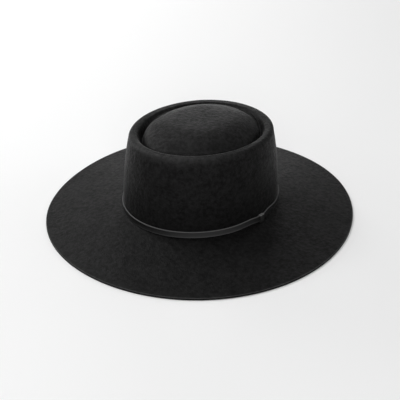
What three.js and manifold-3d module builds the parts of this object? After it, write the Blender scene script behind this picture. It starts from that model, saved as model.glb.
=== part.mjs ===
// A wide-brimmed felt hat with a telescope crown: a raised rim round the top, a narrow
// groove inside it and a low dome in the middle. A thin leather strap lies round the foot
// of the crown, and its end is held on the wearer's left by a keeper of two turns.
// Millimetres, +Z up, the front of the hat towards -Y, the wearer's left towards +X.
// The brim rests on Z = 0.
import * as THREE from 'three';
import { mergeVertices } from 'three/addons/utils/BufferGeometryUtils.js';
import Module from 'manifold-3d';

const wasm = await Module();
wasm.setup();

// The oval of the crown's foot, measured on the outside of the felt.
const HALF_LENGTH = 100.65; // front to back
const HALF_WIDTH = 89.35; // side to side
const BACK_FULLNESS = 0.02; // the back of the head oval is wider than the front by this share
const MEAN_RADIUS = 95;

// The felt.
const FELT = 2.6;
const AROUND = 60;

// The brim.
const BRIM_FRONT = 93.5; // from the crown's foot to the edge, at the front and the back
const BRIM_SIDE = 96.8; // the same at the sides
const BRIM_MEAN = 95.25;
const BRIM_FOOT = 13.8; // height of the brim's upper face where it meets the crown
const BRIM_SETTLE = 1.12; // above 1, the brim flattens towards its edge
const EDGE_ROUND = 0.5;
const REST_WIDTH = 2.4; // the flat ring under the edge that the hat stands on
const BREAK_RADIUS = 1.4;
// The cut edge isn't a true oval: waves of the brim's width round the hat.
const EDGE_WAVES = [
  { turns: 1, cosine: -0.5, sine: 0.3 },
  { turns: 2, cosine: 0.1, sine: -0.1 },
  { turns: 4, cosine: -0.1, sine: -1.15 },
  { turns: 5, cosine: 0.1, sine: 0.4 },
];

// The crown.
const RIM_HEIGHT = 109.5;
const RIM_RADIUS = 5.6; // the rim's round towards the side
const RIM_INNER_RADIUS = 3.5; // its round towards the groove
const RIM_INNER_CENTRE = 76.6;
const RIM_DROP = 0.25; // the rim's top falls by this much towards the groove
const SIDE_FOOT = 15.45;
const SIDE_TAPER = 0.1045; // inwards for each millimetre up
const SIDE_SWELL = 2.2; // the side bows out by this much half way up
const DOME_RADIUS = 65.1;
const DOME_FOOT = 107;
const DOME_RISE = 15;
const DOME_POWER = 4.5;
const GROOVE_CENTRE = 70;
const GROOVE_HEIGHT = 106.1;
const GROOVE_RADIUS = 2.1;
// Where the groove is deeper or shallower: direction and spread to each side in degrees,
// and height.
const GROOVE_LEVELS = [
  { direction: -129, spread: 19, height: -6.5 },
  { direction: 40, spread: 17, height: -7.5 },
  { direction: -45, spread: 30, height: 3 },
  { direction: 115, spread: 42, height: 4 },
];
const LEVEL_RADIUS = 69.9;
const LEVEL_REACH = 2.6;

// The strap round the crown, its overlapping end and the keeper.
const STRAP_BOTTOM = 15.6;
const STRAP_TOP = 22.95;
const STRAP_THICK = 1.4;
const STRAP_SOFT = 0.4; // the strap's softened outer edges
const SEAT_GAP = 0.3;
const KEEPER_ANGLE = 7.5; // degrees from the wearer's left towards the back
const KEEPER_THICK = 0.9;
const TURN_WIDTH = 3.2; // one of the keeper's two turns
const TURN_OVERLAP = 0.16; // the turns press into each other by this much
const TURN_BEVEL = 0.25;
const TURN_CORNER = 1.1;
const TURN_HOLE_CORNER = 0.2;
const STAND_OFF = KEEPER_THICK + SEAT_GAP; // the keeper passes behind the strap
const STAND_OFF_FLAT = 2.6; // degrees each side of the keeper with the full stand-off
const STAND_OFF_END = 9;
const TAIL_START = 7.7; // degrees
const TAIL_END = 22;
const TAIL_BOTTOM = 16.3;
const TAIL_TOP = 21.3;
const TAIL_THICK = 1.3;
const TAIL_TIP = 0.2; // the share of the tail's length that rounds off
const TIP_SLIMMING = 0.7;

const FELT_BLACK = new THREE.MeshStandardMaterial({
  name: 'felt',
  color: 0x1c1c1e,
  roughness: 0.95,
  metalness: 0,
});
const STRAP_BLACK = new THREE.MeshStandardMaterial({
  name: 'strap_leather',
  color: 0x161618,
  roughness: 0.45,
  metalness: 0,
});
const KEEPER_BLACK = STRAP_BLACK.clone();
KEEPER_BLACK.name = 'keeper_leather';
const TAIL_BLACK = STRAP_BLACK.clone();
TAIL_BLACK.name = 'tail_leather';

const radians = (degrees) => (degrees * Math.PI) / 180;

// How far inside the foot's oval the crown's side stands at a height.
function sideInset(height) {
  const up = (height - SIDE_FOOT) / (RIM_HEIGHT - RIM_RADIUS - SIDE_FOOT);
  return SIDE_TAPER * (height - SIDE_FOOT) - SIDE_SWELL * 4 * up * (1 - up);
}

// The brim's width in one direction, as a share of its mean width.
function brimShare(angle) {
  const side = Math.cos(angle) ** 2;
  let width = BRIM_SIDE * side + BRIM_FRONT * (1 - side);
  for (const wave of EDGE_WAVES) {
    width += wave.cosine * Math.cos(wave.turns * angle);
    width += wave.sine * Math.sin(wave.turns * angle);
  }
  return width / BRIM_MEAN;
}

// The point at a distance outside (or inside) the foot's oval.
function beyondOval(angle, distance) {
  const full = 1 + BACK_FULLNESS * Math.sin(angle);
  const x = HALF_WIDTH * Math.cos(angle) * full;
  const y = HALF_LENGTH * Math.sin(angle);
  const alongX =
    HALF_WIDTH * (BACK_FULLNESS * Math.cos(angle) ** 2 - Math.sin(angle) * full);
  const alongY = HALF_LENGTH * Math.cos(angle);
  const length = Math.hypot(alongX, alongY);
  return {
    x: x + (distance * alongY) / length,
    y: y - (distance * alongX) / length,
  };
}

// A turned shape's radius and direction, carried to the hat's oval plan. Inside the dome's
// edge the ovals shrink to the middle; outside the crown they widen to the brim's edge.
function ovalPlace(radius, angle) {
  if (radius < DOME_RADIUS) {
    const share = radius / DOME_RADIUS;
    const edge = beyondOval(angle, DOME_RADIUS - MEAN_RADIUS);
    return { x: edge.x * share, y: edge.y * share };
  }
  const distance = radius - MEAN_RADIUS;
  return beyondOval(angle, distance > 0 ? distance * brimShare(angle) : distance);
}

// Turns a profile of radius and height once round and carries it to the oval plan.
function turnToOval(profile, segments, place) {
  const points = profile.map((row) => new THREE.Vector2(row.r, row.z));
  const turned = new THREE.LatheGeometry(points, segments);
  turned.rotateX(Math.PI / 2);
  return bend(turned, (x, y, z) => {
    const at = place(Math.hypot(x, y), Math.atan2(y, x));
    return new THREE.Vector3(at.x, at.y, z);
  });
}

// Moves every point of a shape by a rule.
function bend(geometry, rule) {
  const position = geometry.getAttribute('position');
  for (let i = 0; i < position.count; i += 1) {
    const to = rule(position.getX(i), position.getY(i), position.getZ(i));
    position.setXYZ(i, to.x, to.y, to.z);
  }
  geometry.computeVertexNormals();
  return geometry;
}

function arcRows(centre, radius, angles) {
  return angles.map((degrees) => ({
    r: centre.r + radius * Math.cos(radians(degrees)),
    z: centre.z + radius * Math.sin(radians(degrees)),
  }));
}

function domeRows() {
  return [0, 0.3, 0.52, 0.7, 0.83, 0.93, 1].map((share) => ({
    r: share * DOME_RADIUS,
    z: DOME_FOOT + DOME_RISE * (1 - share ** DOME_POWER),
  }));
}

// The groove between the dome and the rim, then the rim with a round on each side.
function rimRows() {
  const groove = { r: GROOVE_CENTRE, z: GROOVE_HEIGHT };
  const inner = { r: RIM_INNER_CENTRE, z: RIM_HEIGHT - RIM_DROP - RIM_INNER_RADIUS };
  const top = RIM_HEIGHT - RIM_RADIUS;
  const outer = { r: MEAN_RADIUS - sideInset(top) - RIM_RADIUS, z: top };
  return [
    ...arcRows(groove, GROOVE_RADIUS, [200, 245, 295, 340]),
    ...arcRows(inner, RIM_INNER_RADIUS, [155, 130, 102]),
    ...arcRows(outer, RIM_RADIUS, [86, 62, 38, 14]),
  ];
}

function sideRows() {
  return [98, 82, 64, 44, 26, 19].map((height) => ({
    r: MEAN_RADIUS - sideInset(height),
    z: height,
  }));
}

function breakRows() {
  const centre = { r: MEAN_RADIUS + BREAK_RADIUS, z: BRIM_FOOT + BREAK_RADIUS };
  return arcRows(centre, BREAK_RADIUS, [180, 222, 262]);
}

// The brim's upper face at a share of its width from the crown.
function brimHeight(share) {
  return FELT + (BRIM_FOOT - FELT) * (1 - share) ** BRIM_SETTLE;
}

function brimRows() {
  return [0.1, 0.32, 0.56, 0.78, 0.93].map((share) => ({
    r: MEAN_RADIUS + share * BRIM_MEAN,
    z: brimHeight(share),
  }));
}

// The rounded cut edge and the flat ring under it.
function edgeRows() {
  const edge = MEAN_RADIUS + BRIM_MEAN;
  return [
    { r: edge - EDGE_ROUND, z: FELT },
    { r: edge, z: FELT - EDGE_ROUND },
    { r: edge, z: EDGE_ROUND },
    { r: edge - EDGE_ROUND, z: 0 },
    { r: edge - EDGE_ROUND - REST_WIDTH, z: 0 },
  ];
}

// The other face of the felt: each row moved square to the surface by the felt's thickness.
// It keeps the radius of the row that it lies under.
function underRows(rows) {
  return rows.map((row, i) => {
    if (i === 0) {
      return { r: 0, z: row.z - FELT, over: 0 };
    }
    const before = rows[i - 1];
    const after = rows[Math.min(i + 1, rows.length - 1)];
    const first = unitNormal(before, row);
    const second = after === row ? first : unitNormal(row, after);
    const mitre = FELT / (1 + first.r * second.r + first.z * second.z);
    return {
      r: row.r - mitre * (first.r + second.r),
      z: row.z - mitre * (first.z + second.z),
      over: row.r,
    };
  });
}

function unitNormal(from, to) {
  const length = Math.hypot(to.r - from.r, to.z - from.z);
  return { r: (from.z - to.z) / length, z: (to.r - from.r) / length };
}

// How much higher the groove lies in one direction than in the plain profile.
function grooveLevel(angle) {
  let height = 0;
  for (const level of GROOVE_LEVELS) {
    const turn = angle - radians(level.direction);
    const away = Math.atan2(Math.sin(turn), Math.cos(turn)) / radians(level.spread);
    height += level.height * Math.exp(-0.5 * away * away);
  }
  return height;
}

// Moves the groove up or down, both faces of the felt by the same amount.
function moveGroove(geometry, profile) {
  const position = geometry.getAttribute('position');
  for (let i = 0; i < position.count; i += 1) {
    const row = profile[i % profile.length];
    const step = Math.floor(i / profile.length) % AROUND;
    const angle = (2 * Math.PI * step) / AROUND - Math.PI / 2;
    const away = ((row.over ?? row.r) - LEVEL_RADIUS) / LEVEL_REACH;
    const rise = grooveLevel(angle) * Math.exp(-0.5 * away * away);
    position.setZ(i, position.getZ(i) + rise);
  }
  geometry.computeVertexNormals();
}

function feltBody() {
  const upper = [
    ...domeRows(),
    ...rimRows(),
    ...sideRows(),
    ...breakRows(),
    ...brimRows(),
  ];
  const under = underRows(upper).reverse();
  const profile = [...upper, ...edgeRows(), ...under].reverse();
  const felt = turnToOval(profile, AROUND, ovalPlace);
  moveGroove(felt, profile);
  const mesh = new THREE.Mesh(felt, FELT_BLACK);
  mesh.name = 'felt_body';
  return mesh;
}

// How far the strap stands off the felt near the keeper, which passes behind it.
function standOff(angle) {
  const turn = angle - radians(KEEPER_ANGLE);
  const away = Math.abs(Math.atan2(Math.sin(turn), Math.cos(turn)));
  const flat = radians(STAND_OFF_FLAT);
  return STAND_OFF * (1 - THREE.MathUtils.smoothstep(away, flat, radians(STAND_OFF_END)));
}

// Places a piece by its distance from the crown's foot, following the strap's stand-off.
function besideCrown(distance, angle) {
  return beyondOval(angle, distance + standOff(angle));
}

function hatBand() {
  const inner = MEAN_RADIUS + SEAT_GAP;
  const outer = inner + STRAP_THICK;
  const profile = [
    { r: inner, z: STRAP_BOTTOM },
    { r: outer - STRAP_SOFT, z: STRAP_BOTTOM },
    { r: outer, z: STRAP_BOTTOM + STRAP_SOFT },
    { r: outer, z: STRAP_TOP - STRAP_SOFT },
    { r: outer - STRAP_SOFT, z: STRAP_TOP },
    { r: inner, z: STRAP_TOP },
    { r: inner, z: STRAP_BOTTOM },
  ];
  const place = (radius, angle) => besideCrown(radius - MEAN_RADIUS, angle);
  const mesh = new THREE.Mesh(turnToOval(profile, 2 * AROUND, place), STRAP_BLACK);
  mesh.name = 'hat_band';
  return mesh;
}

// The strap's end, bent to the strap it lies on and rounded at its tip.
function bandTail() {
  const height = TAIL_TOP - TAIL_BOTTOM;
  const middle = (TAIL_TOP + TAIL_BOTTOM) / 2;
  const inner = SEAT_GAP + STRAP_THICK + SEAT_GAP;
  const strip = new THREE.BoxGeometry(1, TAIL_THICK, 1, 12, 1, 1);
  bend(strip, (x, y, z) => {
    const along = x + 0.5;
    const angle = radians(TAIL_START + along * (TAIL_END - TAIL_START));
    const tip = Math.max(0, 1 - (1 - along) / TAIL_TIP);
    const half = z * height * Math.sqrt(1 - TIP_SLIMMING * tip * tip);
    const at = besideCrown(inner + TAIL_THICK / 2 - y, angle);
    return new THREE.Vector3(at.x, at.y, middle + half);
  });
  const mesh = new THREE.Mesh(strip, TAIL_BLACK);
  mesh.name = 'band_tail';
  return mesh;
}

function roundedOutline(low, high, corner) {
  const outline = new THREE.Shape();
  outline.moveTo(low.x + corner, low.y);
  outline.lineTo(high.x - corner, low.y);
  outline.quadraticCurveTo(high.x, low.y, high.x, low.y + corner);
  outline.lineTo(high.x, high.y - corner);
  outline.quadraticCurveTo(high.x, high.y, high.x - corner, high.y);
  outline.lineTo(low.x + corner, high.y);
  outline.quadraticCurveTo(low.x, high.y, low.x, high.y - corner);
  outline.lineTo(low.x, low.y + corner);
  outline.quadraticCurveTo(low.x, low.y, low.x + corner, low.y);
  return outline;
}

// One turn of the keeper: a flat loop that goes round the strap and the tail on it.
function keeperTurn(shift) {
  const layers = STRAP_THICK + SEAT_GAP + TAIL_THICK;
  const low = { x: STAND_OFF, y: STRAP_BOTTOM - SEAT_GAP };
  const high = { x: STAND_OFF + 2 * SEAT_GAP + layers, y: STRAP_TOP + SEAT_GAP };
  const wide = KEEPER_THICK;
  const outside = roundedOutline(
    { x: low.x - wide, y: low.y - wide },
    { x: high.x + wide, y: high.y + wide },
    TURN_CORNER,
  );
  outside.holes.push(roundedOutline(low, high, TURN_HOLE_CORNER));
  const bevel = TURN_BEVEL;
  const loop = new THREE.ExtrudeGeometry(outside, {
    depth: TURN_WIDTH - 2 * bevel,
    bevelEnabled: true,
    bevelThickness: bevel,
    bevelSize: bevel,
    bevelOffset: -bevel,
    bevelSegments: 1,
    curveSegments: 3,
  });
  loop.translate(0, 0, shift - TURN_WIDTH / 2 + bevel);
  return loop;
}

function solidOf(geometry) {
  geometry.deleteAttribute('normal');
  geometry.deleteAttribute('uv');
  const merged = mergeVertices(geometry, 1e-4);
  const mesh = new wasm.Mesh({
    numProp: 3,
    vertProperties: merged.getAttribute('position').array,
    triVerts: new Uint32Array(merged.index.array),
  });
  return new wasm.Manifold(mesh);
}

function geometryOf(solid) {
  const mesh = solid.getMesh();
  const geometry = new THREE.BufferGeometry();
  geometry.setAttribute('position', new THREE.BufferAttribute(mesh.vertProperties, 3));
  geometry.setIndex(new THREE.BufferAttribute(mesh.triVerts, 1));
  geometry.computeVertexNormals();
  return geometry;
}

// The keeper's two turns lie side by side and are one piece.
function bandKeeper() {
  const apart = (TURN_WIDTH - TURN_OVERLAP) / 2;
  const both = solidOf(keeperTurn(-apart)).add(solidOf(keeperTurn(apart)));
  const mesh = new THREE.Mesh(geometryOf(both), KEEPER_BLACK);
  mesh.name = 'band_keeper';
  const angle = radians(KEEPER_ANGLE);
  const foot = beyondOval(angle, 0);
  const out = beyondOval(angle, 1);
  const outward = new THREE.Vector3(out.x - foot.x, out.y - foot.y, 0);
  const upward = new THREE.Vector3(0, 0, 1);
  const along = new THREE.Vector3().crossVectors(outward, upward);
  const turn = new THREE.Matrix4().makeBasis(outward, upward, along);
  mesh.quaternion.setFromRotationMatrix(turn);
  mesh.position.set(foot.x, foot.y, 0);
  return mesh;
}

const hat = new THREE.Group();
hat.name = 'telescope_crown_hat';
const strap = new THREE.Group();
strap.name = 'strap';
strap.add(hatBand(), bandTail(), bandKeeper());
hat.add(feltBody(), strap);

// The waves and the fuller back leave the oval's middle a little off the outline's middle.
const middle = new THREE.Box3().setFromObject(hat).getCenter(new THREE.Vector3());
hat.position.set(-middle.x, -middle.y, 0);

export default hat;
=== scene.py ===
import math

import bmesh
import bpy
from mathutils import Matrix, Quaternion, Vector, noise


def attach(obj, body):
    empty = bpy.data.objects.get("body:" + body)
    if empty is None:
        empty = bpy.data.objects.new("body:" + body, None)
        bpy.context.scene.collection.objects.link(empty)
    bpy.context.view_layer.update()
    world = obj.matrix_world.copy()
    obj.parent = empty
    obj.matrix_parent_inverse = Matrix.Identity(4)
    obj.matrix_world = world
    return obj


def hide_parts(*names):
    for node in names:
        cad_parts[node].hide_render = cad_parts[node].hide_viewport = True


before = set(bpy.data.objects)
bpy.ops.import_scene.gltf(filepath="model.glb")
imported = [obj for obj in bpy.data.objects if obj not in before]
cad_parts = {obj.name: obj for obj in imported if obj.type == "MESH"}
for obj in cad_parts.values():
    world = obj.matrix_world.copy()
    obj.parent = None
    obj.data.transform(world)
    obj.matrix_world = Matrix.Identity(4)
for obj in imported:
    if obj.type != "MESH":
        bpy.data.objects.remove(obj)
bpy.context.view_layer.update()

# Sizes of the hat in millimetres. The profile is worked in millimetres and scaled at the end.
MM = 0.001
ORIGIN_X = -0.466  # the middle of the outline, measured from the middle of the head oval
ORIGIN_Y = 0.700

HALF_LENGTH = 100.65
HALF_WIDTH = 89.35
BACK_FULLNESS = 0.02
MEAN_RADIUS = 95.0

FELT = 2.6
FELT_STEPS = 256

BRIM_FRONT = 93.5
BRIM_SIDE = 96.8
BRIM_MEAN = 95.25
BRIM_FOOT = 13.8
BRIM_SETTLE = 1.12
EDGE_ROUND = 0.5
REST_WIDTH = 2.4
BREAK_RADIUS = 1.4
# Waves of the cut edge: turns round the hat, cosine part, sine part.
EDGE_WAVES = [(1, -0.5, 0.3), (2, 0.1, -0.1), (4, -0.1, -1.15), (5, 0.1, 0.4)]

RIM_HEIGHT = 109.5
RIM_RADIUS = 5.6
RIM_INNER_RADIUS = 3.5
RIM_INNER_CENTRE = 76.6
RIM_DROP = 0.25
SIDE_FOOT = 15.45
SIDE_TAPER = 0.1045
SIDE_SWELL = 2.2
SIDE_HIGHEST = 102.5
SIDE_LOWEST = 18.0
DOME_RADIUS = 65.1
DOME_FOOT = 107.0
DOME_RISE = 15.0
DOME_POWER = 4.5
GROOVE_CENTRE = 70.0
GROOVE_HEIGHT = 106.1
GROOVE_RADIUS = 2.1
TOP_FROM = 80.0  # above this height is the crown's top

# The rim's outer shoulder is pressed in towards the wearer's left front.
PRESS_DIRECTION = -57.0
PRESS_DEPTH = 1.5
PRESS_REACH = 3.4

# How far the felt is uneven, over a broad and over a small stretch.
UNEVEN_BROAD = 0.22
UNEVEN_SMALL = 0.05

# Where the groove is deeper or shallower: direction, spread to each side in degrees, and height.
GROOVE_LEVELS = [(-129.0, 18.0, -7.5), (44.0, 17.0, -9.0), (-45.0, 30.0, 3.0), (115.0, 42.0, 4.0),
                 (-168.0, 20.0, 2.4)]
LEVEL_RADIUS = 69.9
LEVEL_REACH = 2.6

# Where the dome comes nearer the rim: direction, spread to each side in degrees, and reach.
DOME_REACHES = [(-130.0, 24.0, 1.8), (28.0, 14.0, 1.6), (48.0, 14.0, -0.8)]
DOME_REACH_FADE = 6.0

# Where the rim's inner edge stands further out, in the same way.
CREST_REACHES = [(-132.0, 26.0, 1.2)]
CREST_RADIUS = 76.5
CREST_REACH_FADE = 4.5

# Where the felt is painted paler, and how far it spreads: wear with a painted highlight on the rim's
# crest
# # and the brim's lip, painted light on the rim's shoulder, and wear with painted light on the front of
# # the dome, which is handled most.
CREST_WEAR_AND_HIGHLIGHT_DROP = 0.7
CREST_WEAR_AND_HIGHLIGHT_SPREAD = 0.6
SHOULDER_PAINTED_LIGHT = 0.34
SHOULDER_PAINTED_LIGHT_RADIUS = 81.0
SHOULDER_PAINTED_LIGHT_HEIGHT = 108.5
SHOULDER_PAINTED_LIGHT_SPREAD = 4.2
LIP_WEAR_AND_HIGHLIGHT_INSET = 0.45
LIP_WEAR_AND_HIGHLIGHT_SPREAD = 0.3
HANDLED_WEAR_AND_PAINTED_LIGHT = 0.15
HANDLED_AND_LIT_DIRECTION = -42.0
HANDLED_AND_LIT_RADIUS = 33.0
HANDLED_AND_LIT_SPREAD = 29.0

STRAP_BOTTOM = 15.6
STRAP_TOP = 22.95
STRAP_LOW = 0.8  # how far the strap's lower edge lies under the plain strap
STRAP_THICK = 1.4
STRAP_STEPS = 288
STRAP_ROUND = 0.6
SEAT_GAP = 0.3
KEEPER_ANGLE = 7.5
KEEPER_THICK = 0.7
KEEPER_ROOM = 0.4
KEEPER_CORNER = 1.1
KEEPER_EDGE = 0.28
TURN_WIDTH = 3.2
TURN_SPLAY = 4.0
STAND_OFF_FLAT = 2.6
STAND_OFF_END = 9.0
TAIL_START = 7.7
TAIL_END = 22.0
TAIL_BOTTOM = 16.3
TAIL_TOP = 21.3
TAIL_THICK = 1.0
TAIL_STEPS = 40
TAIL_TIP = 0.2
KEEPER_INSIDE = 2 * SEAT_GAP + STRAP_THICK + SEAT_GAP + TAIL_THICK
WEAR_AND_LIGHT_DIRECTION = -34.0  # the strap is painted paler towards here: painted light on its front, with some wear

LEATHER_DARK = (0.001, 0.001, 0.001)

# Where the strap rides up a little: direction, spread to each side in degrees, and height.
STRAP_RAISES = [(18.0, 6.0, 2.2), (-2.5, 7.0, 1.5)]

# The camera, in metres, in the hat's own frame.
EYE = Vector((0.58237, -0.52470, 0.4836))
AIM = Vector((0.00957, -0.01060, 0.0164))
ROLL = 0.216  # degrees
LENS = 65.42  # millimetres

# The soft lights: name, turn from the camera's side in degrees, height in degrees, watts.
# The under light only serves views from below, as the floor hides it from the hat.
STUDIO_LIGHTS = [
    ("front_light", 0, 25, 19.6),
    ("right_light", 90, 25, 5.6),
    ("right_back_light", 135, 25, 5.2),
    ("back_light", 180, 12, 11.6),
    ("left_back_light", 225, 12, 14.8),
    ("left_light", 270, 25, 4.8),
    ("left_front_light", 315, 25, 3.9),
    ("high_back_light", 180, 55, 1.0),
    ("high_left_light", 240, 55, 24.4),
    ("top_light", 0, 88, 9.6),
    ("under_light", 0, -88, 150.0),
]
LIGHT_AWAY = 2.2
LIGHT_SIZE = 1.2
LIGHT_AIM = Vector((0, 0, 0.05))
BACKDROP = 0.92
FLOOR_HALF = 1.25


# The hat's oval plan and profile

def side_inset(height):
    """How far inside the foot's oval the crown's side stands at a height."""
    up = (height - SIDE_FOOT) / (RIM_HEIGHT - RIM_RADIUS - SIDE_FOOT)
    return SIDE_TAPER * (height - SIDE_FOOT) - SIDE_SWELL * 4 * up * (1 - up)


def brim_share(angle):
    """The brim's width in one direction as a share of its mean width."""
    side = math.cos(angle) ** 2
    width = BRIM_SIDE * side + BRIM_FRONT * (1 - side)
    for turns, cosine, sine in EDGE_WAVES:
        width += cosine * math.cos(turns * angle) + sine * math.sin(turns * angle)
    return width / BRIM_MEAN


def beyond_oval(angle, distance):
    """The point at a distance outside the head oval, measured square to it."""
    full = 1 + BACK_FULLNESS * math.sin(angle)
    x = HALF_WIDTH * math.cos(angle) * full
    y = HALF_LENGTH * math.sin(angle)
    along_x = HALF_WIDTH * (BACK_FULLNESS * math.cos(angle) ** 2 - math.sin(angle) * full)
    along_y = HALF_LENGTH * math.cos(angle)
    length = math.hypot(along_x, along_y)
    return (x + distance * along_y / length - ORIGIN_X,
            y - distance * along_x / length - ORIGIN_Y)


def bell(away):
    """A smooth fall from one, at no distance, towards nothing."""
    return math.exp(-0.5 * away * away)


def lobes(places, angle):
    """The height, in one direction, of smooth lobes given by direction, spread and height."""
    total = 0.0
    for direction, each_side, height in places:
        turn = angle - math.radians(direction)
        turn = math.degrees(math.atan2(math.sin(turn), math.cos(turn))) / each_side
        total += height * bell(turn)
    return total


def felt_place(radius, angle):
    """Where a turned point of the felt stands on the oval plan."""
    reach = lobes(DOME_REACHES, angle)
    if radius < DOME_RADIUS:
        share = radius / DOME_RADIUS
        x, y = beyond_oval(angle, DOME_RADIUS + reach - MEAN_RADIUS)
        return ((x + ORIGIN_X) * share - ORIGIN_X, (y + ORIGIN_Y) * share - ORIGIN_Y)
    reach *= max(1 - (radius - DOME_RADIUS) / DOME_REACH_FADE, 0.0)
    near_crest = max(1 - abs(radius - CREST_RADIUS) / CREST_REACH_FADE, 0.0)
    reach += lobes(CREST_REACHES, angle) * near_crest
    distance = radius + reach - MEAN_RADIUS
    return beyond_oval(angle, distance * brim_share(angle) if distance > 0 else distance)


def arc(centre_r, centre_z, radius, first, last, steps):
    """Points of a round in the profile, from one angle in degrees to another."""
    points = []
    for i in range(steps + 1):
        turn = math.radians(first + (last - first) * i / steps)
        points.append((centre_r + radius * math.cos(turn), centre_z + radius * math.sin(turn)))
    return points


def spread(low, high, steps):
    """Even values from low to high, both included."""
    return [low + (high - low) * i / steps for i in range(steps + 1)]


def brim_height(share):
    """The height of the brim's upper face at a share of its width."""
    return FELT + (BRIM_FOOT - FELT) * (1 - share) ** BRIM_SETTLE


def upper_face():
    """The felt's upper face from the top of the dome out to the brim's edge."""
    rim_z = RIM_HEIGHT - RIM_RADIUS
    rim_r = MEAN_RADIUS - side_inset(rim_z) - RIM_RADIUS
    points = [(share * DOME_RADIUS, DOME_FOOT + DOME_RISE * (1 - share ** DOME_POWER))
              for share in spread(0, 1, 32)]
    groove = arc(GROOVE_CENTRE, GROOVE_HEIGHT, GROOVE_RADIUS, 200, 340, 8)
    for share in (0.2, 0.4, 0.6, 0.8):
        points.append((DOME_RADIUS + share * (groove[0][0] - DOME_RADIUS),
                       DOME_FOOT + share * (groove[0][1] - DOME_FOOT)))
    points += groove
    inner_z = RIM_HEIGHT - RIM_DROP - RIM_INNER_RADIUS
    points += arc(RIM_INNER_CENTRE, inner_z, RIM_INNER_RADIUS, 155, 94, 8)
    points += arc(rim_r, rim_z, RIM_RADIUS, 88, 4, 12)
    points += [(MEAN_RADIUS - side_inset(z), z) for z in spread(SIDE_HIGHEST, SIDE_LOWEST, 34)]
    points += arc(MEAN_RADIUS + BREAK_RADIUS, BRIM_FOOT + BREAK_RADIUS, BREAK_RADIUS, 180, 262, 6)
    points += [(MEAN_RADIUS + share * BRIM_MEAN, brim_height(share))
               for share in spread(0.045, 0.982, 40) + [0.987, 0.991]]
    return points


def under_face(rows):
    """The felt's other face: each point moved square to the surface by the thickness."""
    points = []
    for i, (r, z) in enumerate(rows):
        before = rows[max(i - 1, 0)]
        after = rows[min(i + 1, len(rows) - 1)]
        length = math.hypot(after[0] - before[0], after[1] - before[1])
        out_r = (before[1] - after[1]) / length
        out_z = (after[0] - before[0]) / length
        points.append((max(r - FELT * out_r, 0.0), z - FELT * out_z))
    points[0] = (0.0, rows[0][1] - FELT)
    return points


def pressed_rim(radius, angle, height):
    """How far a point of the rim is pressed in, square to the rim's outer shoulder."""
    facing = max(math.cos(angle - math.radians(PRESS_DIRECTION)), 0.0)
    shoulder_z = RIM_HEIGHT - 0.29 * RIM_RADIUS
    shoulder_r = MEAN_RADIUS - side_inset(RIM_HEIGHT - RIM_RADIUS) - 0.29 * RIM_RADIUS
    away = math.hypot(radius - shoulder_r, height - shoulder_z) / PRESS_REACH
    return PRESS_DEPTH * facing * facing * bell(away)


def groove_level(radius, angle):
    """How much higher a point of the groove lies than in the plain profile."""
    return lobes(GROOVE_LEVELS, angle) * bell((radius - LEVEL_RADIUS) / LEVEL_REACH)


def wear_and_painted_light_felt(radius, angle, height):
    """How pale the felt is painted, by wear and by painted highlight and light: crest, shoulder, brim's
    edge, dome's front.
    """
    turn = angle - math.radians(HANDLED_AND_LIT_DIRECTION)
    crest_r = RIM_INNER_CENTRE - 0.5 * RIM_INNER_RADIUS
    away = math.hypot(radius - crest_r, height - RIM_HEIGHT + CREST_WEAR_AND_HIGHLIGHT_DROP)
    # the crest's pale line is wear and a painted highlight, strongest towards the front
    crest = bell(away / CREST_WEAR_AND_HIGHLIGHT_SPREAD) * (0.25 + 0.95 * max(math.cos(turn), 0.0))
    # painted light on the rim's shoulder, facing the way the rim is pressed
    facing = max(math.cos(angle - math.radians(PRESS_DIRECTION)), 0.0)
    away = math.hypot(radius - SHOULDER_PAINTED_LIGHT_RADIUS, height - SHOULDER_PAINTED_LIGHT_HEIGHT)
    shoulder = SHOULDER_PAINTED_LIGHT * facing ** 2 * bell(away / SHOULDER_PAINTED_LIGHT_SPREAD)
    # a thin painted highlight, with wear, along the top of the brim's cut edge
    lip = 0.0
    if height > FELT - 0.2:
        inset = MEAN_RADIUS + BRIM_MEAN - radius
        lip = bell((inset - LIP_WEAR_AND_HIGHLIGHT_INSET) / LIP_WEAR_AND_HIGHLIGHT_SPREAD)
    # the dome's front is painted paler: wear where it is handled, and painted light
    dome = 0.0
    if radius < DOME_RADIUS:
        away = math.hypot(radius * math.cos(turn) - HANDLED_AND_LIT_RADIUS, radius * math.sin(turn))
        dome = HANDLED_WEAR_AND_PAINTED_LIGHT * bell(away / HANDLED_AND_LIT_SPREAD)
    return min(crest + shoulder + lip + dome, 1.0)


def cut_edge():
    """The brim's cut edge and the flat ring that the hat stands on."""
    edge = MEAN_RADIUS + BRIM_MEAN
    points = arc(edge - EDGE_ROUND, FELT - EDGE_ROUND, EDGE_ROUND, 90, 0, 5)
    points += arc(edge - EDGE_ROUND, EDGE_ROUND, EDGE_ROUND, 0, -90, 5)
    points.append((edge - EDGE_ROUND - REST_WIDTH, 0.0))
    return points


# Shaping with bmesh

def line_through(bm, rows, closed=False):
    """Joins the points of a profile, drawn in the XZ plane, into one line."""
    verts = [bm.verts.new((r, 0.0, z)) for r, z in rows]
    for first, second in zip(verts, verts[1:]):
        bm.edges.new((first, second))
    if closed:
        bm.edges.new((verts[-1], verts[0]))


def turn_about_z(bm, degrees, steps):
    """Turns everything in the bmesh round the upright axis."""
    bmesh.ops.spin(bm, geom=bm.verts[:] + bm.edges[:], cent=(0, 0, 0), axis=(0, 0, 1),
                   dvec=(0, 0, 0), angle=math.radians(degrees), steps=steps,
                   use_merge=degrees == 360, use_duplicate=False)


def bend_to_oval(bm, place):
    """Carries turned points to the oval plan by a rule of radius and angle."""
    for vert in bm.verts:
        x, y, z = vert.co
        at_x, at_y = place(math.hypot(x, y), math.atan2(y, x))
        vert.co = (at_x, at_y, z)


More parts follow.
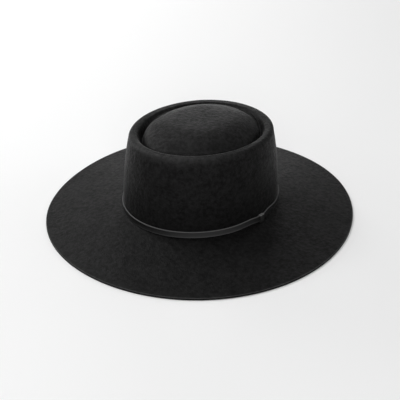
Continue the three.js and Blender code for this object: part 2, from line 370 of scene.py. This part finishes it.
def mark_wear_and_painted_light(bm, rule):
    """Stores how pale each turned point is painted, by wear and by painted highlight and light, for the
    material to read.
    """
    layer = bm.verts.layers.float.new("wear_and_painted_light")
    for vert in bm.verts:
        x, y, z = vert.co
        vert[layer] = rule(math.hypot(x, y), math.atan2(y, x), z)


def finish_piece(bm, name, node, material):
    """Scales the bmesh to metres and makes it a piece that stands for its CAD node."""
    bmesh.ops.scale(bm, vec=(MM, MM, MM), verts=bm.verts[:])
    mesh = bpy.data.meshes.new(name)
    bm.to_mesh(mesh)
    bm.free()
    mesh.polygons.foreach_set("use_smooth", [True] * len(mesh.polygons))
    mesh.materials.append(material)
    piece = bpy.data.objects.new(name, mesh)
    bpy.context.scene.collection.objects.link(piece)
    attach(piece, "root")
    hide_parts(node)


# Materials

class Finish:
    """A node material with short calls for the textures a finish is built from."""

    def __init__(self, name):
        self.material = bpy.data.materials.new(name)
        self.material.use_nodes = True
        self.tree = self.material.node_tree
        self.shader = self.tree.nodes["Principled BSDF"]
        self.object_place = self.node("ShaderNodeTexCoord").outputs["Object"]

    def node(self, kind, **settings):
        made = self.tree.nodes.new(kind)
        for key, value in settings.items():
            setattr(made, key, value)
        return made

    def feed(self, socket, value):
        if isinstance(value, bpy.types.NodeSocket):
            self.tree.links.new(value, socket)
        elif isinstance(value, tuple) and len(value) == 3 and socket.type == "RGBA":
            socket.default_value = (*value, 1.0)
        else:
            socket.default_value = value

    def noise(self, scale, detail, rough):
        made = self.node("ShaderNodeTexNoise")
        self.feed(made.inputs["Vector"], self.object_place)
        self.feed(made.inputs["Scale"], scale)
        self.feed(made.inputs["Detail"], detail)
        self.feed(made.inputs["Roughness"], rough)
        return made.outputs["Fac"]

    def cells(self, scale):
        made = self.node("ShaderNodeTexVoronoi")
        self.feed(made.inputs["Vector"], self.object_place)
        self.feed(made.inputs["Scale"], scale)
        return made.outputs["Distance"]

    def math(self, operation, first, second):
        made = self.node("ShaderNodeMath", operation=operation)
        self.feed(made.inputs[0], first)
        self.feed(made.inputs[1], second)
        return made.outputs[0]

    def fit(self, value, low, high, to_low=0.0, to_high=1.0):
        made = self.node("ShaderNodeMapRange")
        for socket, number in zip(made.inputs[:5], (value, low, high, to_low, to_high)):
            self.feed(socket, number)
        return made.outputs[0]

    def mix(self, share, first, second):
        made = self.node("ShaderNodeMix", data_type="RGBA")
        self.feed(made.inputs["Factor"], share)
        self.feed(made.inputs["A"], first)
        self.feed(made.inputs["B"], second)
        return made.outputs["Result"]

    # reads the stored pale share: wear together with painted highlight and painted light
    def wear_and_painted_light(self):
        return self.node("ShaderNodeAttribute", attribute_name="wear_and_painted_light").outputs["Fac"]

    def bump(self, height, distance, strength, under=None):
        made = self.node("ShaderNodeBump")
        self.feed(made.inputs["Height"], height)
        self.feed(made.inputs["Distance"], distance)
        self.feed(made.inputs["Strength"], strength)
        if under is not None:
            self.feed(made.inputs["Normal"], under)
        return made.outputs["Normal"]

    def set(self, **sockets):
        for key, value in sockets.items():
            self.feed(self.shader.inputs[key.replace("_", " ")], value)


def felt_finish():
    """Matt black felt: fibres, grain and mottle, paler where the nap has wear and where highlight and
    light are painted.
    """
    felt = Finish("black_felt")
    fibres = felt.noise(1400.0, 3.0, 0.65)
    grain = felt.noise(620.0, 2.0, 0.6)
    mottle = felt.noise(220.0, 3.0, 0.55)
    nap = felt.noise(60.0, 2.0, 0.5)
    tone = felt.math("MULTIPLY", mottle, 0.48)
    for share, part in ((0.24, grain), (0.12, fibres), (0.16, nap)):
        tone = felt.math("ADD", tone, felt.math("MULTIPLY", part, share))
    tone = felt.fit(tone, 0.40, 0.60)
    felt_colour = felt.mix(tone, (0.0001, 0.0001, 0.0001), (0.0081, 0.0080, 0.0081))
    # the felt is painted paler here by wear, painted highlights and painted light
    pale = felt.math("MULTIPLY", felt.wear_and_painted_light(), felt.fit(mottle, 0.3, 0.7, 0.55, 1.0))
    felt.set(Base_Color=felt.mix(pale, felt_colour, (0.062, 0.062, 0.062)))
    felt.set(Roughness=felt.fit(tone, 0.0, 1.0, 0.66, 0.54))
    felt.shader.inputs["Specular IOR Level"].default_value = 0.120
    felt.shader.inputs["Sheen Weight"].default_value = 0.10
    felt.shader.inputs["Sheen Roughness"].default_value = 0.12
    soft = felt.bump(mottle, 0.0009, 0.9)
    felt.set(Normal=felt.bump(grain, 0.0006, 0.6, soft))
    return felt.material


def leather_finish(name, dark, light, gloss, wear_and_highlight_colour):
    """Smooth black leather with fine pores, paler where it has wear and where highlights and light are
    painted.
    """
    leather = Finish(name)
    grain = leather.cells(1900.0)
    pores = leather.noise(3200.0, 2.0, 0.5)
    rub = leather.noise(90.0, 3.0, 0.55)
    colour = leather.mix(leather.fit(rub, 0.35, 0.65), dark, light)
    # painted paler by wear, painted highlights and painted light
    leather.set(Base_Color=leather.mix(leather.wear_and_painted_light(), colour, wear_and_highlight_colour))
    leather.set(Roughness=leather.fit(rub, 0.35, 0.65, gloss, gloss + 0.12))
    leather.shader.inputs["Specular IOR Level"].default_value = 0.14
    height = leather.math("ADD", grain, leather.math("MULTIPLY", pores, 0.4))
    leather.set(Normal=leather.bump(height, 0.00006, 0.7))
    return leather.material


# The pieces

def uneven_felt(bm):
    """Leaves the felt a little uneven, as it comes off a wooden block."""
    bm.normal_update()
    moves = []
    for vert in bm.verts:
        clear = min(max((vert.co.z - 3.0) / 4.0, 0.0), 1.0)
        broad = noise.noise(vert.co / 34.0)
        small = noise.noise(vert.co / 9.0 + Vector((7, 3, 5)))
        moves.append(vert.normal * clear * (UNEVEN_BROAD * broad + UNEVEN_SMALL * small))
    for vert, move in zip(bm.verts, moves):
        vert.co += move


def shape_top(bm):
    """Gives the groove its levels and presses the rim in, before the felt is made oval."""
    for vert in bm.verts:
        x, y, z = vert.co
        radius = math.hypot(x, y)
        angle = math.atan2(y, x)
        if z > TOP_FROM:
            z += groove_level(radius, angle)
            vert.co.z = z
        depth = pressed_rim(radius, angle, z) * math.sqrt(0.5)
        if depth > 0.001:
            vert.co = (x * (1 - depth / radius), y * (1 - depth / radius), z - depth)


def felt_body():
    """The crown and the brim, of one felt."""
    bm = bmesh.new()
    upper = upper_face()
    line_through(bm, upper + cut_edge() + under_face(upper)[::-1])
    turn_about_z(bm, 360, FELT_STEPS)
    bmesh.ops.remove_doubles(bm, verts=bm.verts[:], dist=0.0005)
    mark_wear_and_painted_light(bm, wear_and_painted_light_felt)
    shape_top(bm)
    bend_to_oval(bm, felt_place)
    bmesh.ops.recalc_face_normals(bm, faces=bm.faces[:])
    uneven_felt(bm)
    finish_piece(bm, "hat_felt", "felt_body", felt_finish())


def stand_off(angle):
    """How far the strap stands off the felt near the keeper, which passes behind it."""
    turn = angle - math.radians(KEEPER_ANGLE)
    away = abs(math.degrees(math.atan2(math.sin(turn), math.cos(turn))))
    share = min(max((away - STAND_OFF_FLAT) / (STAND_OFF_END - STAND_OFF_FLAT), 0.0), 1.0)
    return (KEEPER_THICK + SEAT_GAP) * (1 - share * share * (3 - 2 * share))


def raise_strap(bm):
    """Lifts the strap and its end where they ride up on each side of the keeper."""
    for vert in bm.verts:
        vert.co.z += lobes(STRAP_RAISES, math.atan2(vert.co.y, vert.co.x))


def strap_place(radius, angle):
    """Where a turned point of the strap stands on the oval plan."""
    return beyond_oval(angle, radius - MEAN_RADIUS + stand_off(angle))


def strap_section(inner, bottom, top, thick):
    """A strap's section: a piped upper edge, a low line under it and a fuller lower half."""
    outer = inner + thick
    pipe = 0.42 * thick
    tall = (top - bottom) / (STRAP_TOP - STRAP_BOTTOM)
    points = [(inner, bottom + 0.25), (inner + 0.2, bottom)]
    points += arc(outer - STRAP_ROUND, bottom + STRAP_ROUND, STRAP_ROUND, -90, 0, 5)
    for rise, inset in ((1.1, 0.03), (1.6, 0.14), (2.1, 0.30), (2.7, 0.42)):
        points.append((outer - inset, bottom + rise * tall))
    points += [(outer - 0.52, (bottom + top) / 2), (outer - 0.58, top - 2.2 * tall)]
    points.append((outer - 0.60, top - 2.3 * pipe))
    points += arc(outer - pipe, top - pipe, pipe, -50, 90, 8)
    points += [(inner + 0.2, top), (inner, top - 0.25)]
    return points


def strap_wear_and_painted_light(radius, angle, height):
    """How pale the strap is painted: a painted highlight on its upper edge most, then on its lower
    edge, and painted light with some wear on its front.
    """
    facing = max(math.cos(angle - math.radians(WEAR_AND_LIGHT_DIRECTION)), 0.0)
    # painted highlights on the upper and lower edges, painted light on the front
    edge = min(max((height - STRAP_TOP + 1.2) / 0.6, 0.0), 1.0)
    low = bell((height - STRAP_BOTTOM - 0.1) / 0.6)
    return max((0.8 + 0.25 * facing ** 3) * edge, 0.38 * facing ** 5 + 0.30 * facing * low)


def tail_wear_and_highlight(radius, angle, height):
    """How pale the strap's end is painted: a little wear and painted highlight along its upper edge."""
    return 0.15 * min(max((height - TAIL_TOP + 1.2) / 0.6, 0.0), 1.0)


def keeper_wear_and_painted_light(radius, angle, height):
    """The keeper is painted pale: wear and a painted highlight over its top, painted light along its
    shaded near edge and a faint lift all over.
    """
    over = STRAP_TOP + SEAT_GAP + lobes(STRAP_RAISES, math.radians(KEEPER_ANGLE))
    top = min(max((height - over) / 0.5, 0.0), 1.0)
    near = KEEPER_ANGLE - 1.5 - math.degrees(angle)
    # painted light on the near edge, and a faint even paleness that lifts the keeper's shade
    return max(top, 0.12 + 0.2 * min(max(near / 0.3, 0.0), 1.0))


def hat_band(leather):
    """The strap round the foot of the crown."""
    bm = bmesh.new()
    bottom = STRAP_BOTTOM - STRAP_LOW
    section = strap_section(MEAN_RADIUS + SEAT_GAP, bottom, STRAP_TOP, STRAP_THICK)
    line_through(bm, section, closed=True)
    turn_about_z(bm, 360, STRAP_STEPS)
    bmesh.ops.remove_doubles(bm, verts=bm.verts[:], dist=0.0005)
    mark_wear_and_painted_light(bm, strap_wear_and_painted_light)
    raise_strap(bm)
    bend_to_oval(bm, strap_place)
    bmesh.ops.recalc_face_normals(bm, faces=bm.faces[:])
    finish_piece(bm, "hat_strap", "hat_band", leather)


def band_tail(leather):
    """The strap's end beyond the keeper, with a rounded tip."""
    bm = bmesh.new()
    inner = MEAN_RADIUS + SEAT_GAP + STRAP_THICK + SEAT_GAP
    line_through(bm, strap_section(inner, TAIL_BOTTOM, TAIL_TOP, TAIL_THICK), closed=True)
    turn_about_z(bm, TAIL_END - TAIL_START, TAIL_STEPS)
    bmesh.ops.holes_fill(bm, edges=[edge for edge in bm.edges if edge.is_boundary])
    mark_wear_and_painted_light(bm, tail_wear_and_highlight)
    bmesh.ops.rotate(bm, cent=(0, 0, 0), matrix=Matrix.Rotation(math.radians(TAIL_START), 3, "Z"),
                     verts=bm.verts[:])
    middle = (TAIL_BOTTOM + TAIL_TOP) / 2
    for vert in bm.verts:
        angle = math.degrees(math.atan2(vert.co.y, vert.co.x))
        along = (angle - TAIL_START) / (TAIL_END - TAIL_START)
        tip = min(max((along - 1 + TAIL_TIP) / TAIL_TIP, 0.0), 1.0)
        vert.co.z = middle + (vert.co.z - middle) * math.sqrt(1 - 0.85 * tip * tip)
    raise_strap(bm)
    bend_to_oval(bm, strap_place)
    bmesh.ops.recalc_face_normals(bm, faces=bm.faces[:])
    finish_piece(bm, "strap_end", "band_tail", leather)


def keeper_turn(bm, shift, splay):
    """One turn of the keeper: a flat loop that goes round the strap and its end."""
    tall = STRAP_TOP - STRAP_BOTTOM + STRAP_LOW + 2 * KEEPER_ROOM
    half_out = KEEPER_INSIDE / 2 + KEEPER_THICK
    half_up = tall / 2 + KEEPER_THICK
    made = bmesh.ops.create_grid(bm, x_segments=1, y_segments=1, size=1.0)
    verts = made["verts"]
    bmesh.ops.scale(bm, vec=(half_out, half_up, 1), verts=verts)
    rounded = bmesh.ops.bevel(bm, geom=verts, offset=KEEPER_CORNER, offset_type="OFFSET",
                              segments=6, profile=0.5, affect="VERTICES", material=-1)
    face = next(f for f in bm.faces if all(v in set(rounded["verts"]) for v in f.verts))
    ring = bmesh.ops.inset_region(bm, faces=[face], thickness=KEEPER_THICK, depth=0,
                                  use_boundary=True, use_even_offset=True)["faces"]
    bmesh.ops.delete(bm, geom=[face], context="FACES_ONLY")
    grown = bmesh.ops.extrude_face_region(bm, geom=ring)["geom"]
    lifted = [part for part in grown if isinstance(part, bmesh.types.BMVert)]
    bmesh.ops.translate(bm, vec=(0, 0, TURN_WIDTH), verts=lifted)
    turn = list({v for part in ring for v in part.verts} | set(lifted))
    bmesh.ops.translate(bm, vec=(0, 0, shift - TURN_WIDTH / 2), verts=turn)
    bmesh.ops.rotate(bm, cent=(0, 0, 0), matrix=Matrix.Rotation(math.radians(splay), 3, "X"),
                     verts=turn)


def band_keeper(leather):
    """The keeper's two turns, side by side, set square to the strap."""
    both = bmesh.new()
    for side in (-1, 1):
        bm = bmesh.new()
        keeper_turn(bm, side * TURN_WIDTH / 2, side * TURN_SPLAY)
        bmesh.ops.recalc_face_normals(bm, faces=bm.faces[:])
        rims = [edge for edge in bm.edges if edge.calc_face_angle(0) > math.radians(60)]
        bmesh.ops.bevel(bm, geom=rims, offset=KEEPER_EDGE, offset_type="OFFSET", segments=3,
                        profile=0.5, affect="EDGES", material=-1)
        part = bpy.data.meshes.new("turn")
        bm.to_mesh(part)
        bm.free()
        both.from_mesh(part)
        bpy.data.meshes.remove(part)
    angle = math.radians(KEEPER_ANGLE)
    foot = Vector((*beyond_oval(angle, 0), 0))
    outward = Vector((*beyond_oval(angle, 1), 0)) - foot
    up = Vector((0, 0, 1))
    along = outward.cross(up)
    out_middle = KEEPER_THICK + SEAT_GAP + KEEPER_INSIDE / 2
    middle = (STRAP_BOTTOM - STRAP_LOW + STRAP_TOP) / 2 + lobes(STRAP_RAISES, angle)
    centre = foot + outward * out_middle + up * middle
    stand = Matrix((outward, up, along)).transposed()
    bmesh.ops.rotate(both, cent=(0, 0, 0), matrix=stand, verts=both.verts[:])
    bmesh.ops.translate(both, vec=centre, verts=both.verts[:])
    mark_wear_and_painted_light(both, keeper_wear_and_painted_light)
    finish_piece(both, "strap_keeper", "band_keeper", leather)


# The stage

def pale_floor():
    """The plain pale floor that the hat stands on."""
    bm = bmesh.new()
    bmesh.ops.create_grid(bm, x_segments=1, y_segments=1, size=FLOOR_HALF)
    mesh = bpy.data.meshes.new("pale_floor")
    bm.to_mesh(mesh)
    bm.free()
    paper = Finish("pale_paper")
    cloud = paper.noise(0.6, 2.0, 0.5)
    paper.set(Base_Color=paper.mix(cloud, (0.876, 0.876, 0.876), (0.906, 0.906, 0.906)), Roughness=0.95)
    paper.shader.inputs["Specular IOR Level"].default_value = 0.1
    mesh.materials.append(paper.material)
    floor = bpy.data.objects.new("pale_floor", mesh)
    bpy.context.scene.collection.objects.link(floor)


def soft_light(name, turn, height, power):
    """A round soft light, turned from the camera's side and raised by degrees."""
    view = EYE - AIM
    side = math.atan2(view.y, view.x) + math.radians(turn)
    up = math.radians(height)
    place = Vector((math.cos(up) * math.cos(side), math.cos(up) * math.sin(side), math.sin(up)))
    place *= LIGHT_AWAY
    lamp = bpy.data.lights.new(name, "AREA")
    lamp.shape = "DISK"
    lamp.size = LIGHT_SIZE
    lamp.energy = power
    holder = bpy.data.objects.new(name, lamp)
    bpy.context.scene.collection.objects.link(holder)
    holder.location = place
    holder.rotation_euler = (LIGHT_AIM - place).to_track_quat("-Z", "Y").to_euler()


def studio():
    """The lights, and a pale backdrop that only the camera sees."""
    world = bpy.data.worlds.new("studio")
    world.use_nodes = True
    backdrop = world.node_tree.nodes["Background"]
    backdrop.inputs["Color"].default_value = (BACKDROP, BACKDROP, BACKDROP, 1.0)
    backdrop.inputs["Strength"].default_value = 1.0
    world.cycles_visibility.diffuse = False
    world.cycles_visibility.glossy = False
    bpy.context.scene.world = world
    for light in STUDIO_LIGHTS:
        soft_light(*light)


def photo_camera():
    """The camera at the photograph's viewing angle."""
    lens = bpy.data.cameras.new("camera")
    lens.lens = LENS
    lens.sensor_width = 36.0
    camera = bpy.data.objects.new("camera", lens)
    bpy.context.scene.collection.objects.link(camera)
    camera.location = EYE
    look = (AIM - EYE).to_track_quat("-Z", "Y")
    camera.rotation_euler = (look @ Quaternion((0, 0, 1), math.radians(ROLL))).to_euler()
    bpy.context.scene.camera = camera


felt_body()
# Each leather's last colour is its pale colour of wear, painted highlights and painted light.
hat_band(leather_finish("strap_leather", LEATHER_DARK, (0.004, 0.004, 0.004), 0.52,
                        (0.095, 0.095, 0.096)))
band_tail(leather_finish("tail_leather", LEATHER_DARK, (0.004, 0.004, 0.004), 0.50,
                         (0.075, 0.075, 0.076)))
band_keeper(leather_finish("keeper_leather", LEATHER_DARK, (0.003, 0.003, 0.003), 0.40,
                           (0.145, 0.145, 0.145)))
pale_floor()
studio()
photo_camera()
bpy.context.scene.view_settings.view_transform = "Standard"
